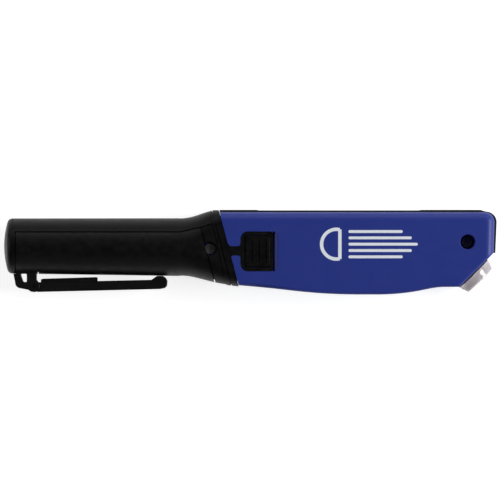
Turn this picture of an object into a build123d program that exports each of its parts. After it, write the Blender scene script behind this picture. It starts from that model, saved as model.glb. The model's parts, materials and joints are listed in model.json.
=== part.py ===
from build123d import *
import os
from math import cos, hypot, radians, sin

# Hand-held LED inspection light, about 246 mm long.
#
# A round black handle holds one rechargeable cell, and a rubber grip wraps its sides. It
# flares through a slanted neck and a rubber collar into a flat-sided blue head. The narrow
# edge of the head carries the main light under a long clear window, and its slanted nose
# carries a round spot light. A rubber push button sits in the front side of the head. A
# sprung pocket clip hangs along the handle, and a threaded cap closes the cell bay.
#
# All sizes are in millimetres. The light lies on its flat back: +X runs from the tail to
# the nose, +Y from the clip side to the main light, and +Z up, out of the front side with
# the button. The origin is below the middle of the light, on the surface it lies on.

# ---- driving dimensions ------------------------------------------------------------

MID_Z = 14.0               # middle plane, half the light's thickness
TAIL_X = -122.95           # apex of the tail cap's dome
CAP_SPLIT_X = -118.6       # where the tail cap meets the handle tube
NOSE_X = 122.95            # front of the light frame
FRAME_Y = 21.1             # outer face of the light frame
FRAME_PROUD = 1.1          # how far the frame's raised ends stand out of the head
HEAD_Y = FRAME_Y - FRAME_PROUD
HEAD_HALF = MID_Z          # half the head's thickness
HEAD_TOP_R = 4.0           # rounding along the head's edge beside the main light
HEAD_BELLY_R = 1.6         # rounding along its nose, slanted face and belly
WALL = 2.0                 # head shell wall
NECK_WALL = 2.4            # neck wall
GRIP_T = 1.4               # rubber grip thickness
GAP = 0.6                  # shadow line between the grip and its recess
SPLIT_GAP = 0.06           # half of the hairline between the two head shells
COLLAR_PROUD = 0.3         # how far the collar stands out

# Stations of the handle, tail to head: top point, bottom point (x, y), thickness, corner radius.
TAIL_STATION = ((CAP_SPLIT_X, 16.9), (CAP_SPLIT_X, -10.7), 27.6, 13.75)
GRIP_STATION = ((-36.0, 17.0), (-36.0, -11.9), 27.96, 13.9)
FLARE_STATION = ((-29.0, 17.75), (-27.0, -12.75), 27.96, 13.2)
NECK_STATION = ((-23.6, 19.5), (-18.6, -14.85), 27.8, 11.5)
BAND_STATION = ((-19.8, 20.55), (-11.9, -16.1), 27.2, 9.0)
HEAD_STATION = ((-15.4, 20.7), (-5.6, -16.85), 27.2, 7.0)
NECK_STATIONS = (GRIP_STATION, FLARE_STATION, NECK_STATION, BAND_STATION, HEAD_STATION)

# Grip outline on the side of the handle
SEAM_Y = 10.4
GRIP_START_X = -117.3
GRIP_SEAM_END_X = -35.0
GRIP_END_TOP = (-24.4, 12.8)
GRIP_END_LOW = (-15.8, -21.0)
SEAM_END = (-18.6, 14.6)   # where the seam meets the collar
SEAM_DEPTH = 0.7
COLLAR_GROOVE = (3.25, 3.75, 0.55)  # start and end from the head, and depth

# Cell bay and cell
AXIS_Y = 3.1               # axis of the cell, the bay and the tail cap
BAY_R = 9.6
BAY_END_X = -41.9
BULKHEAD_T = 2.5
CELL_R = 9.2
CELL_X = -112.6
CELL_LENGTH = 65.0
NUB_R = 2.8
NUB_LENGTH = 1.2

# Tail cap and its right-hand thread
CAP_R = 13.8
CAP_DOME_R = 43.0
CAP_EDGE_R = 2.5
CAP_GAP = 0.15
SPIGOT_END_X = -110.4
SPIGOT_BORE_R = 9.45
SPIGOT_R = 10.4
THREAD_BORE_R = 11.3
THREAD_HEIGHT = 0.6
THREAD_PITCH = 2.0
THREAD_BASE = 1.0
THREAD_TIP = 0.4
THREAD_TURNS = 2.5
THREAD_START_X = -116.6
THREAD_END_X = -109.8
CAP_FLOOR_X = -119.6
COIN_SLOT = (11.0, 1.6, 0.9)
SEAL_R = 11.0
SEAL_WIRE_R = 0.55
MOUTH_R = 11.85
MOUTH_DEPTH = 1.25

# Head outline
CORNER_CENTRE = (116.95, 15.1)
CHAMFER_TOP = (121.4, -0.4)
CHAMFER_LOW = (104.35, -17.3)
BELLY_Y = -21.1             # flat bottom of the belly, between its two flanks
BELLY_REAR = ((54.0, BELLY_Y), (21.0, -19.15))
BELLY_NOSE = ((64.0, BELLY_Y), (88.0, -18.45), (95.5, -17.35))

# Main light: the frame is raised at both ends and lower along the window and round the nose
FRAME_HALF = 8.9
FRAME_START_X = -15.2
FRAME_STEP = 0.25
FRAME_RAMP = 1.6           # length of the slope down from a raised end
FRAME_RAISED_END_X = 114.9
FRAME_CORNER_Y = 15.0
FRAME_CORNER_R = 5.25
WINDOW_X = (3.0, 85.5)
WINDOW_HALF = 6.0
WINDOW_SUNK = 0.55
OPENING_X = (-4.0, 109.0)
OPENING_HALF = 8.0
SKIRT_T = 1.0
SKIRT_DEPTH = 3.0
BOARD_T = 1.6
FLOOD_BOARD_Y = 15.1       # LED side of the flood board
LED_COLUMNS = 12
LED_PITCH = 6.8
LED_ROWS = 2
LED_ROW_PITCH = 6.4
LED_SIZE = 3.0
LED_HEIGHT = 0.8

# Spot light, square to the nose's slanted face
SPOT_SHARE = 9.9           # distance of its axis from the face's lower corner
GASKET_T = 0.7
LENS_BASE_R = 9.7
LENS_RIM_R = 8.4
LENS_RIM_H = 5.2
LENS_CROWN_H = 6.0
LENS_T = 1.0
SPOT_HOLE_R = 7.5
SPOT_BARREL_R = 8.9
SPOT_BARREL_DEPTH = 9.4

# Button, its rubber surround and the control board below it
PAD_X = (-4.8, 11.35)
PAD_Y = (-9.55, 10.35)
PAD_LEFT_R = 3.75
PAD_RIGHT_R = 1.5
PAD_FLOOR_Z = 24.2
PAD_FLOOR_T = 1.4
PAD_FACE_Z = 27.6
SCOOP_X = 14.45            # where the head's face starts to roll down to the pad
SCOOP_CORNER_R = 3.0
BRIDGE_Y = (-1.5, 2.85)
BRIDGE_FLARE_R = 1.5
BRIDGE_FLOOR_Z = 26.0
BUTTON_MARGIN = 2.0
BUTTON_CLEAR = 0.25
BUTTON_Z = (26.2, 27.4)
RIB_X = (-1.3, 2.1, 5.5, 8.9)
RIB_SIZE = (1.2, 11.5, 0.45)
PLUNGER_R = 1.6
PLUNGER_END_Z = 22.5
CONTROL_BOARD_Z = 17.6     # underside of the control board
CONTROL_BOARD_X = (-11.0, 27.0)
CONTROL_BOARD_Y = (-9.0, 9.6)

# Screws that hold the shells together, both driven from the front side
NECK_SCREW = (-19.95, 1.65)
NOSE_SCREW = (108.3, 5.1)
NECK_SEAT_Z = 24.0
NOSE_SEAT_Z = 17.5
SCREW_HEAD_R = 2.6
SCREW_HEAD_H = 1.8
SCREW_SHANK_R = 1.45
SCREW_TIP_Z = 6.5
SCREW_HOLE_R = 1.5
SCREW_HOLE_END_Z = 5.0
CROSS_LENGTH = 3.0
CROSS_WIDTH = 0.7
CROSS_DEPTH = 0.9
NECK_BORE_R = 3.3
NOSE_BORE_R = 3.6
BORE_RIM = 0.45            # bevel at the mouth of both bores
BOSS_R = 3.2

# Pocket clip
PIN = (-107.9, -17.05)
PIN_R = 1.0
KNUCKLE_R = 2.6
CHEEK_R = 2.9
CLIP_HALF = 4.4
SLOT_HALF = 2.8
KNUCKLE_HALF = 2.6
SPRING_HALF = 1.6
ARM_STEP = 0.8

# Fits
FIT = 0.15                 # clearance between parts that are fixed together
RUNNING_FIT = 0.06         # radial clearance of a part that turns on a pin
THREAD_SINK = 0.05         # how far a thread ridge is rooted in its wall

# Contacts, springs and the cell's fittings
CONTACT_T = 0.5
TAIL_CONTACT_R = 8.0
FRONT_CONTACT_R = 4.0
SPRING_WIRE_R = 0.4
SPRING_BASE_R = 6.0
SPRING_TURNS = 4
SPRING_CONE = -25
WIRE_HOLE_R = 1.6
STRIP_R = 9.75             # inner face of the ground strip, from the cell's axis
STRIP_T = 0.4
STRIP_HALF = 1.5
STRIP_START_X = -109.6
STRIP_END_X = -37.6
CELL_EDGE_R = 0.6

# Head shells: the spigot that enters the neck, ribs and posts
SPIGOT_T = 1.75
SPIGOT_START_X = -31.0
REAR_LOW_Y = -16.5
BOARD_RIB_X = (17.0, 35.0, 53.0, 71.0)
RIB_T = 1.6
RIB_H = 4.0
RIB_REACH = 7.0
POST_R = 1.5

# Light frame's foot, window lens and the reflector behind it
FRAME_FOOT_T = 0.9
LENS_FLANGE_T = 1.3
CUP_TOP_R = 3.0
CUP_TAPER = 12
BOARD_HALF = 7.5

# Spot reflector and LED
REFLECTOR_DEPTH = 5.4
SPOT_THROAT_R = 2.6
SPOT_LED_SIZE = 3.4
SPOT_DOME_R = 1.4

# Button cap, its plate, and the switch below
BUTTON_EDGE_R = 0.4
PLATE_T = 0.5
SWITCH_HALF = 3.0
SWITCH_BODY_T = 1.4
SWITCH_TOP_Z = 21.1

# Parts on the control board: middle or corners (x, y), then radius and height
STORAGE_CAP = ((21.5, 4.2), 3.2, 3.0)
CHARGE_CHIP = ((18.0, 23.0), (-6.0, -2.2), 1.2)
DRIVER_COIL = ((14.0, 20.0), (-3.0, 3.0), 1.6)
INPUT_CAP = ((8.0, -4.5), 2.0, 4.0)
SHUNT = ((0.0, 3.2), (3.0, 4.6), 0.9)

# Leads
LEAD_R = 0.6
LEAD_BEND = 1.5
CELL_LEAD_X = -8.5         # where both cell leads meet the control board
LIGHT_LEAD_X = 24.6        # where the leads to both lights leave it
LEAD_PAIR = 1.3            # half of the spacing in a pair

# Clip details
LEG_TOP_Y = -9.9
LEG_STEP = 0.9             # how far the bracket's foot enters the handle
FOOT_END_X = -106.2
FLANGE_Y = -15.1
CHANNEL_HALF = 2.2
CLIP_EDGE_R = 0.3
CLIP_WIRE_R = 0.25
CLIP_COIL_R = 1.5
CLIP_TURNS = 4

MIDDLE = Plane.XY.offset(MID_Z)


# ---- helpers -----------------------------------------------------------------------

def slanted_plane(top, bottom):
    """Plane through two points of the side outline and parallel to Z, facing the nose."""
    dx, dy = top[0] - bottom[0], top[1] - bottom[1]
    middle = ((top[0] + bottom[0]) / 2, (top[1] + bottom[1]) / 2, MID_Z)
    return Plane(origin=middle, x_dir=(0, 0, 1), z_dir=(dy, -dx, 0))


def station_face(station, inset):
    """One rounded cross section of the handle, pulled in by inset."""
    top, bottom, thickness, radius = station
    height = hypot(top[0] - bottom[0], top[1] - bottom[1])
    with BuildSketch(slanted_plane(top, bottom)) as sketch:
        RectangleRounded(thickness - 2 * inset, height - 2 * inset, radius - inset)
    return sketch.sketch


def handle_form(inset):
    """Solid form of the handle, from the tail cap to the head, pulled in by inset."""
    with BuildPart() as form:
        loft([station_face(s, inset) for s in (TAIL_STATION, GRIP_STATION)], ruled=True)
        loft([station_face(s, inset) for s in NECK_STATIONS])
    return form.part


def between(form, first, second):
    """The slice of a form between two planes that both face the nose."""
    with BuildPart() as piece:
        add(form)
        split(bisect_by=first, keep=Keep.TOP)
        split(bisect_by=second, keep=Keep.BOTTOM)
    return piece.part


def side_face(*outline, rounding=0):
    """Face in the middle plane from (x, y) corner points, with its corners rounded on request."""
    with BuildSketch(MIDDLE) as sketch:
        with BuildLine():
            Polyline(*outline, close=True)
        make_face()
        if rounding:
            fillet(sketch.vertices(), rounding)
    return sketch.sketch


def side_block(x_range, y_range, z_range):
    """Rectangular block between two corners."""
    with BuildPart() as block:
        with BuildSketch(Plane.XY.offset(z_range[0])):
            with Locations((sum(x_range) / 2, sum(y_range) / 2)):
                Rectangle(x_range[1] - x_range[0], y_range[1] - y_range[0])
        extrude(amount=z_range[1] - z_range[0])
    return block.part


def upright(point, radius, z_range):
    """Cylinder parallel to Z."""
    with BuildPart() as cylinder:
        with BuildSketch(Plane.XY.offset(z_range[0])):
            with Locations(point):
                Circle(radius)
        extrude(amount=z_range[1] - z_range[0])
    return cylinder.part


def bore_mouth(point, radius):
    """Bevel to cut where an upright bore meets the front side."""
    with BuildPart() as cone:
        with BuildSketch(Plane.XY.offset(2 * MID_Z - BORE_RIM)):
            with Locations(point):
                Circle(radius)
        extrude(amount=2 * BORE_RIM, taper=-45)
    return cone.part


def lengthwise(x_range, radius, inner=0):
    """Disc or ring on the cell's axis."""
    with BuildPart() as ring:
        with BuildSketch(Plane.YZ.offset(x_range[0])):
            with Locations((AXIS_Y, MID_Z)):
                Circle(radius)
                if inner:
                    Circle(inner, mode=Mode.SUBTRACT)
        extrude(amount=x_range[1] - x_range[0])
    return ring.part


def thread_ridge(radius, height, start_x):
    """Helical ridge on the cell's axis, standing outward for a positive height."""
    with BuildPart() as ridge:
        with BuildLine() as path:
            Helix(
                pitch=THREAD_PITCH, height=THREAD_PITCH * THREAD_TURNS, radius=radius,
                center=(start_x, AXIS_Y, MID_Z), direction=(1, 0, 0),
            )
        start = path.line @ 0
        outward = start - Vector(start_x, AXIS_Y, MID_Z)
        with BuildSketch(Plane(origin=start, x_dir=outward, z_dir=path.line % 0)):
            with BuildLine():
                Polyline(
                    (0, -THREAD_BASE / 2), (height, -THREAD_TIP / 2),
                    (height, THREAD_TIP / 2), (0, THREAD_BASE / 2), close=True,
                )
            make_face()
        sweep(path=path.line, is_frenet=True)
    return ridge.part


# ---- forms that several pieces share ---------------------------------------------------

handle_outer = handle_form(0)
handle_core = handle_form(GRIP_T)
neck_inner = handle_form(NECK_WALL)
spigot_outer = handle_form(NECK_WALL + FIT)
spigot_inner = handle_form(NECK_WALL + FIT + SPIGOT_T)
collar_outer = handle_form(-COLLAR_PROUD)
band_plane = slanted_plane(*BAND_STATION[:2])
head_plane = slanted_plane(*HEAD_STATION[:2])


# ---- tail cap and seal -----------------------------------------------------------------

cap_axis = Axis((0, AXIS_Y, MID_Z), (1, 0, 0))
cap_shoulder_x = CAP_SPLIT_X - CAP_GAP
dome_edge_x = TAIL_X + CAP_DOME_R - (CAP_DOME_R ** 2 - CAP_R ** 2) ** 0.5
dome_half_r = CAP_R / 2
dome_half_x = TAIL_X + CAP_DOME_R - (CAP_DOME_R ** 2 - dome_half_r ** 2) ** 0.5
slot_length, slot_width, slot_depth = COIN_SLOT

with BuildPart() as tail_cap:
    with BuildSketch(MIDDLE) as cap_half:
        with Locations((0, AXIS_Y)):
            with BuildLine():
                ThreePointArc(
                    (TAIL_X, AXIS_Y), (dome_half_x, AXIS_Y + dome_half_r),
                    (dome_edge_x, AXIS_Y + CAP_R),
                )
                Polyline(
                    (dome_edge_x, AXIS_Y + CAP_R), (cap_shoulder_x, AXIS_Y + CAP_R),
                    (cap_shoulder_x, AXIS_Y + SPIGOT_R), (SPIGOT_END_X, AXIS_Y + SPIGOT_R),
                    (SPIGOT_END_X, AXIS_Y + SPIGOT_BORE_R), (CAP_FLOOR_X, AXIS_Y + SPIGOT_BORE_R),
                    (CAP_FLOOR_X, AXIS_Y), (TAIL_X, AXIS_Y),
                )
            make_face()
        fillet(cap_half.vertices().sort_by(Axis.Y).group_by(Axis.Y)[-1].sort_by(Axis.X)[0], CAP_EDGE_R)
    revolve(axis=cap_axis)
    add(thread_ridge(SPIGOT_R - THREAD_SINK, THREAD_HEIGHT + THREAD_SINK, THREAD_START_X))
    with BuildSketch(Plane.YZ.offset(TAIL_X)):
        with Locations((AXIS_Y, MID_Z)):
            SlotOverall(slot_length, slot_width)
    extrude(amount=slot_depth, mode=Mode.SUBTRACT)

with BuildPart() as tail_oring:
    seal_x = (cap_shoulder_x + CAP_SPLIT_X + MOUTH_DEPTH) / 2
    with BuildSketch(MIDDLE):
        with Locations((seal_x, AXIS_Y + SEAL_R)):
            Circle(SEAL_WIRE_R)
    revolve(axis=cap_axis)

with BuildPart() as tail_contact:
    add(lengthwise((CAP_FLOOR_X, CAP_FLOOR_X + CONTACT_T), TAIL_CONTACT_R))

with BuildPart() as tail_spring:
    spring_start_x = CAP_FLOOR_X + CONTACT_T + SPRING_WIRE_R
    spring_length = CELL_X - SPRING_WIRE_R - spring_start_x
    with BuildLine() as coil:
        Helix(
            pitch=spring_length / SPRING_TURNS, height=spring_length, radius=SPRING_BASE_R,
            center=(spring_start_x, AXIS_Y, MID_Z), direction=(1, 0, 0), cone_angle=SPRING_CONE,
        )
    with BuildSketch(Plane(origin=coil.line @ 0, z_dir=coil.line % 0)):
        Circle(SPRING_WIRE_R)
    sweep(path=coil.line, is_frenet=True)


# ---- handle ----------------------------------------------------------------------------

grip_outline = (
    (GRIP_START_X, -2 * CAP_R), (GRIP_START_X, SEAM_Y), (GRIP_SEAM_END_X, SEAM_Y),
    GRIP_END_TOP, GRIP_END_LOW,
)

with BuildPart() as grip_recess:
    add(handle_outer)
    add(handle_core, mode=Mode.SUBTRACT)
    extrude(side_face(*grip_outline), amount=2 * MID_Z, both=True, mode=Mode.INTERSECT)

seam_dx, seam_dy = SEAM_END[0] - GRIP_END_TOP[0], SEAM_END[1] - GRIP_END_TOP[1]
seam_strip = side_face(
    GRIP_END_TOP, (GRIP_END_TOP[0], GRIP_END_TOP[1] - GAP),
    (SEAM_END[0] + seam_dx, SEAM_END[1] + seam_dy - GAP),
    (SEAM_END[0] + seam_dx, SEAM_END[1] + seam_dy),
)

with BuildPart() as seam_groove:
    add(handle_outer)
    add(handle_form(SEAM_DEPTH), mode=Mode.SUBTRACT)
    extrude(seam_strip, amount=2 * MID_Z, both=True, mode=Mode.INTERSECT)

strip_z = (MID_Z - STRIP_HALF, MID_Z + STRIP_HALF)
strip_y = (AXIS_Y + STRIP_R, AXIS_Y + STRIP_R + STRIP_T)
bulkhead_end_x = BAY_END_X + BULKHEAD_T

with BuildPart() as handle_tube:
    add(handle_outer)
    split(bisect_by=band_plane, keep=Keep.BOTTOM)
    add(between(neck_inner, Plane.YZ.offset(bulkhead_end_x), head_plane), mode=Mode.SUBTRACT)
    add(lengthwise((CAP_SPLIT_X, BAY_END_X), BAY_R), mode=Mode.SUBTRACT)
    add(lengthwise((CAP_SPLIT_X, THREAD_END_X), THREAD_BORE_R), mode=Mode.SUBTRACT)
    add(lengthwise((CAP_SPLIT_X, CAP_SPLIT_X + MOUTH_DEPTH), MOUTH_R), mode=Mode.SUBTRACT)
    add(lengthwise((BAY_END_X, bulkhead_end_x), WIRE_HOLE_R), mode=Mode.SUBTRACT)
    groove = side_block(
        (THREAD_END_X, bulkhead_end_x), (AXIS_Y, strip_y[1] + FIT),
        (strip_z[0] - FIT, strip_z[1] + FIT),
    )
    add(groove, mode=Mode.SUBTRACT)
    add(thread_ridge(
        THREAD_BORE_R + THREAD_SINK, -THREAD_HEIGHT - THREAD_SINK,
        THREAD_START_X + THREAD_PITCH / 2,
    ))
    add(grip_recess.part, mode=Mode.SUBTRACT)
    add(seam_groove.part, mode=Mode.SUBTRACT)
    add(upright(NECK_SCREW, NECK_BORE_R, (MID_Z, 2 * MID_Z)), mode=Mode.SUBTRACT)
    add(bore_mouth(NECK_SCREW, NECK_BORE_R), mode=Mode.SUBTRACT)

foot_x = (GRIP_START_X + FIT, FOOT_END_X)
foot_z = (MID_Z - CLIP_HALF - FIT, MID_Z + CLIP_HALF + FIT)

with BuildSketch(MIDDLE) as grip_face:
    add(side_face(*grip_outline))
    offset(amount=-GAP, kind=Kind.INTERSECTION)

with BuildPart() as grip_sleeve:
    add(handle_outer)
    add(handle_core, mode=Mode.SUBTRACT)
    extrude(grip_face.sketch, amount=2 * MID_Z, both=True, mode=Mode.INTERSECT)
    foot_window = side_block(
        (GRIP_START_X, foot_x[1] + GAP), (-2 * CAP_R, 0), (foot_z[0] - GAP, foot_z[1] + GAP),
    )
    add(foot_window, mode=Mode.SUBTRACT)


# ---- cell and its contacts -------------------------------------------------------------

cell_end_x = CELL_X + CELL_LENGTH
nub_end_x = cell_end_x + NUB_LENGTH
front_contact_x = (nub_end_x + FIT / 2, nub_end_x + FIT / 2 + CONTACT_T)

with BuildPart() as battery_cell:
    add(lengthwise((CELL_X, cell_end_x), CELL_R))
    can_rims = battery_cell.edges().filter_by(GeomType.CIRCLE)
    fillet(can_rims, CELL_EDGE_R)
    add(lengthwise((cell_end_x - CELL_EDGE_R, nub_end_x), NUB_R))

with BuildPart() as front_contact:
    add(lengthwise(front_contact_x, FRONT_CONTACT_R))

with BuildPart() as contact_insulator:
    add(lengthwise((front_contact_x[1], BAY_END_X), BAY_R - FIT, WIRE_HOLE_R))

with BuildPart() as ground_strip:
    add(side_block((STRIP_START_X, STRIP_END_X), strip_y, strip_z))


# ---- head shells -----------------------------------------------------------------------

head_slope = (HEAD_STATION[1][0] - HEAD_STATION[0][0]) / (HEAD_STATION[0][1] - HEAD_STATION[1][1])
rear_top = (HEAD_STATION[0][0] + head_slope * (HEAD_STATION[0][1] - HEAD_Y), HEAD_Y)
rear_low = (HEAD_STATION[0][0] + head_slope * (HEAD_STATION[0][1] - REAR_LOW_Y), REAR_LOW_Y)
corner_r = HEAD_Y - CORNER_CENTRE[1]
nose_top = (CORNER_CENTRE[0] + corner_r, CORNER_CENTRE[1])

with BuildSketch(MIDDLE) as head_outline:
    with BuildLine():
        Line(rear_top, (CORNER_CENTRE[0], HEAD_Y))
        TangentArc((CORNER_CENTRE[0], HEAD_Y), nose_top, tangent=(1, 0))
        Polyline(nose_top, CHAMFER_TOP, CHAMFER_LOW, BELLY_NOSE[2])
        nose_flank = TangentArc(BELLY_NOSE[0], BELLY_NOSE[1], tangent=(1, 0))
        TangentArc(BELLY_NOSE[1], BELLY_NOSE[2], tangent=nose_flank % 1)
        Line(BELLY_NOSE[0], BELLY_REAR[0])
        rear_flank = TangentArc(BELLY_REAR[0], BELLY_REAR[1], tangent=(-1, 0))
        TangentArc(BELLY_REAR[1], rear_low, tangent=rear_flank % 1)
        Line(rear_low, rear_top)
    make_face()

with BuildPart() as head_form:
    extrude(head_outline.sketch, amount=HEAD_HALF, both=True)
    rear_x = (rear_top[0] + rear_low[0]) / 2 + 1
    for fillet_r, wanted in (
        (HEAD_TOP_R, lambda e: e.center().X > rear_x and e.center().Y > CORNER_CENTRE[1]),
        (HEAD_BELLY_R, lambda e: e.center().X > rear_x and e.center().Y < CORNER_CENTRE[1]),
    ):
        flat_sides = head_form.faces().filter_by(Plane.XY)
        fillet(flat_sides.edges().filter_by(wanted), fillet_r)

with BuildPart() as head_cavity:
    with BuildSketch(MIDDLE):
        add(head_outline.sketch)
        offset(amount=-WALL)
    extrude(amount=HEAD_HALF - WALL, both=True)
    extrude(station_face(HEAD_STATION, NECK_WALL + SPIGOT_T), amount=2 * WALL)


# Plane of the nose's slanted face at the spot light's axis: x along the face, y out of it.
face_dx, face_dy = CHAMFER_TOP[0] - CHAMFER_LOW[0], CHAMFER_TOP[1] - CHAMFER_LOW[1]
face_along = Vector(face_dx, face_dy, 0).normalized()
spot_point = Vector(*CHAMFER_LOW, MID_Z) + face_along * SPOT_SHARE
spot_section = Plane(origin=spot_point, x_dir=face_along, z_dir=(0, 0, -1))
spot_out = spot_section.y_dir
spot_plane = Plane(origin=spot_point, x_dir=(0, 0, 1), z_dir=spot_out)
spot_axis = Axis(spot_point, spot_out)


def spot_disc(heights, radius, inner=0):
    """Disc or ring on the spot light's axis, between two heights above the nose's face."""
    with BuildPart() as disc:
        with BuildSketch(spot_plane.offset(heights[0])):
            Circle(radius)
            if inner:
                Circle(inner, mode=Mode.SUBTRACT)
        extrude(amount=heights[1] - heights[0])
    return disc.part


spigot_start = Plane.YZ.offset(SPIGOT_START_X)
window_z = (MID_Z - WINDOW_HALF, MID_Z + WINDOW_HALF)
opening_z = (MID_Z - OPENING_HALF, MID_Z + OPENING_HALF)

with BuildPart() as head_shell:
    add(head_form.part)
    add(head_cavity.part, mode=Mode.SUBTRACT)
    add(between(spigot_outer, spigot_start, head_plane))
    add(between(spigot_inner, spigot_start, head_plane), mode=Mode.SUBTRACT)
    add(spot_disc((-SPOT_BARREL_DEPTH, -WALL / 2), SPOT_BARREL_R))
    add(spot_disc((-SPOT_BARREL_DEPTH, WALL), SPOT_HOLE_R), mode=Mode.SUBTRACT)
    add(side_block(OPENING_X, (HEAD_Y - 2 * WALL, FRAME_Y), opening_z), mode=Mode.SUBTRACT)
    for rib_x in BOARD_RIB_X:
        for rib_z in ((WALL / 2, RIB_REACH), (2 * MID_Z - RIB_REACH, 2 * MID_Z - WALL / 2)):
            rib_top = FLOOD_BOARD_Y - BOARD_T
            add(side_block((rib_x - RIB_T / 2, rib_x + RIB_T / 2), (rib_top - RIB_H, rib_top), rib_z))

pad_x = sum(PAD_X) / 2
pad_y = sum(PAD_Y) / 2
pad_size = (PAD_X[1] - PAD_X[0], PAD_Y[1] - PAD_Y[0])
hole_x = (PAD_X[0] + BUTTON_MARGIN, PAD_X[1] - BUTTON_MARGIN / 2)
hole_y = (PAD_Y[0] + BUTTON_MARGIN, PAD_Y[1] - BUTTON_MARGIN)
hole_centre = (sum(hole_x) / 2, sum(hole_y) / 2)
hole_size = (hole_x[1] - hole_x[0], hole_y[1] - hole_y[0])


def pad_outline(z):
    """The pad's outline: wide rounding towards the handle, tight rounding towards the nose."""
    with BuildSketch(Plane.XY.offset(z)) as outline:
        with Locations((pad_x, pad_y)):
            Rectangle(*pad_size)
        corners = outline.vertices().sort_by(Axis.X)
        fillet(corners[:2], PAD_LEFT_R)
        fillet(outline.vertices().group_by(Axis.X)[-1], PAD_RIGHT_R)
    return outline.sketch


def head_rear_x(y):
    """Where the head's slanted rear face is at a height y in the side outline."""
    return HEAD_STATION[0][0] + head_slope * (HEAD_STATION[0][1] - y)


def bridge_outline(z, grow):
    """The strip that joins collar and pad, flared where it meets them."""
    low, high = BRIDGE_Y[0] - grow, BRIDGE_Y[1] + grow
    flare = BRIDGE_FLARE_R - grow
    with BuildSketch(Plane.XY.offset(z)) as outline:
        with BuildLine():
            Polyline(
                (head_rear_x(high + flare) - WALL, high + flare),
                (head_rear_x(high + flare), high + flare), (head_rear_x(high) + flare, high),
                (PAD_X[0] - flare, high), (PAD_X[0], high + flare), (PAD_X[0] + WALL / 2, high + flare),
                (PAD_X[0] + WALL / 2, low - flare), (PAD_X[0], low - flare),
                (PAD_X[0] - flare, low), (head_rear_x(low) + flare, low),
                (head_rear_x(low - flare), low - flare),
                (head_rear_x(low - flare) - WALL, low - flare), close=True,
            )
        make_face()
        for turn in (1, -1):
            edge = high if turn > 0 else low
            with Locations(
                (PAD_X[0] - flare, edge + turn * flare),
                (head_rear_x(edge) + flare, edge + turn * flare),
            ):
                Circle(flare, mode=Mode.SUBTRACT)
    return outline.sketch


def counterbored(post_r, bore_r, point, seat_z):
    """Front screw boss and the space to cut in it."""
    with BuildPart() as post:
        add(upright(point, BOSS_R, (MID_Z, seat_z)))
        add(upright(point, post_r, (seat_z - WALL, 2 * MID_Z - WALL / 2)))
    with BuildPart() as bore:
        add(upright(point, SCREW_HOLE_R, (MID_Z, seat_z)))
        add(upright(point, bore_r, (seat_z, 2 * MID_Z)))
    return post.part, bore.part


neck_post, neck_bore = counterbored(NECK_BORE_R + 1, NECK_BORE_R - FIT, NECK_SCREW, NECK_SEAT_Z)
nose_post, nose_bore = counterbored(NOSE_BORE_R + 1, NOSE_BORE_R, NOSE_SCREW, NOSE_SEAT_Z)

with BuildPart() as bridge_rib:
    add(side_block(
        (rear_top[0], PAD_X[0]), (BRIDGE_Y[0] - WALL, BRIDGE_Y[1] + WALL),
        (BRIDGE_FLOOR_Z - PAD_FLOOR_T, 2 * MID_Z - WALL / 2),
    ))
    add(head_form.part, mode=Mode.INTERSECT)

with BuildPart() as neck_boss:
    add(neck_post)
    add(spigot_outer, mode=Mode.INTERSECT)

with BuildPart() as scoop:
    scoop_r = SCOOP_X - PAD_X[1]
    with BuildSketch(Plane.XZ.offset(-pad_y)):
        with BuildLine():
            CenterArc((SCOOP_X, 2 * MID_Z - scoop_r), scoop_r, 90, 90)
            Polyline(
                (PAD_X[1], 2 * MID_Z - scoop_r), (PAD_X[1] - FIT, 2 * MID_Z - scoop_r),
                (PAD_X[1] - FIT, 2 * MID_Z + FIT), (SCOOP_X, 2 * MID_Z + FIT), (SCOOP_X, 2 * MID_Z),
            )
        make_face()
    extrude(amount=pad_size[1] / 2, both=True)
    with BuildSketch(Plane.XY.offset(MID_Z)):
        with Locations(((PAD_X[0] + SCOOP_X) / 2, pad_y)):
            RectangleRounded(SCOOP_X - PAD_X[0], pad_size[1], SCOOP_CORNER_R)
    extrude(amount=2 * MID_Z, mode=Mode.INTERSECT)

with BuildPart() as head_shell_front:
    add(head_shell.part)
    split(bisect_by=Plane.XY.offset(MID_Z + SPLIT_GAP), keep=Keep.TOP)
    pad_block = side_block(
        (PAD_X[0] - WALL, PAD_X[1] + WALL), (PAD_Y[0] - WALL, PAD_Y[1] + WALL),
        (PAD_FLOOR_Z - PAD_FLOOR_T, 2 * MID_Z - WALL / 2),
    )
    add(pad_block)
    add(bridge_rib.part)
    for post_x in (PAD_X[0], PAD_X[1]):
        for post_y in (PAD_Y[0] + WALL, PAD_Y[1] - WALL):
            add(upright((post_x, post_y), POST_R, (CONTROL_BOARD_Z + BOARD_T, PAD_FLOOR_Z - WALL / 2)))
    extrude(pad_outline(PAD_FLOOR_Z), amount=MID_Z, mode=Mode.SUBTRACT)
    add(upright(hole_centre, PLUNGER_R + BUTTON_CLEAR, (MID_Z, 2 * MID_Z)), mode=Mode.SUBTRACT)
    extrude(bridge_outline(BRIDGE_FLOOR_Z, FIT), amount=MID_Z, mode=Mode.SUBTRACT)
    add(scoop.part, mode=Mode.SUBTRACT)
    add(nose_post)
    add(nose_bore, mode=Mode.SUBTRACT)
    add(bore_mouth(NOSE_SCREW, NOSE_BORE_R), mode=Mode.SUBTRACT)
    add(neck_boss.part)
    add(neck_bore, mode=Mode.SUBTRACT)
    split(bisect_by=Plane.XY.offset(MID_Z + SPLIT_GAP), keep=Keep.TOP)

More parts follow.
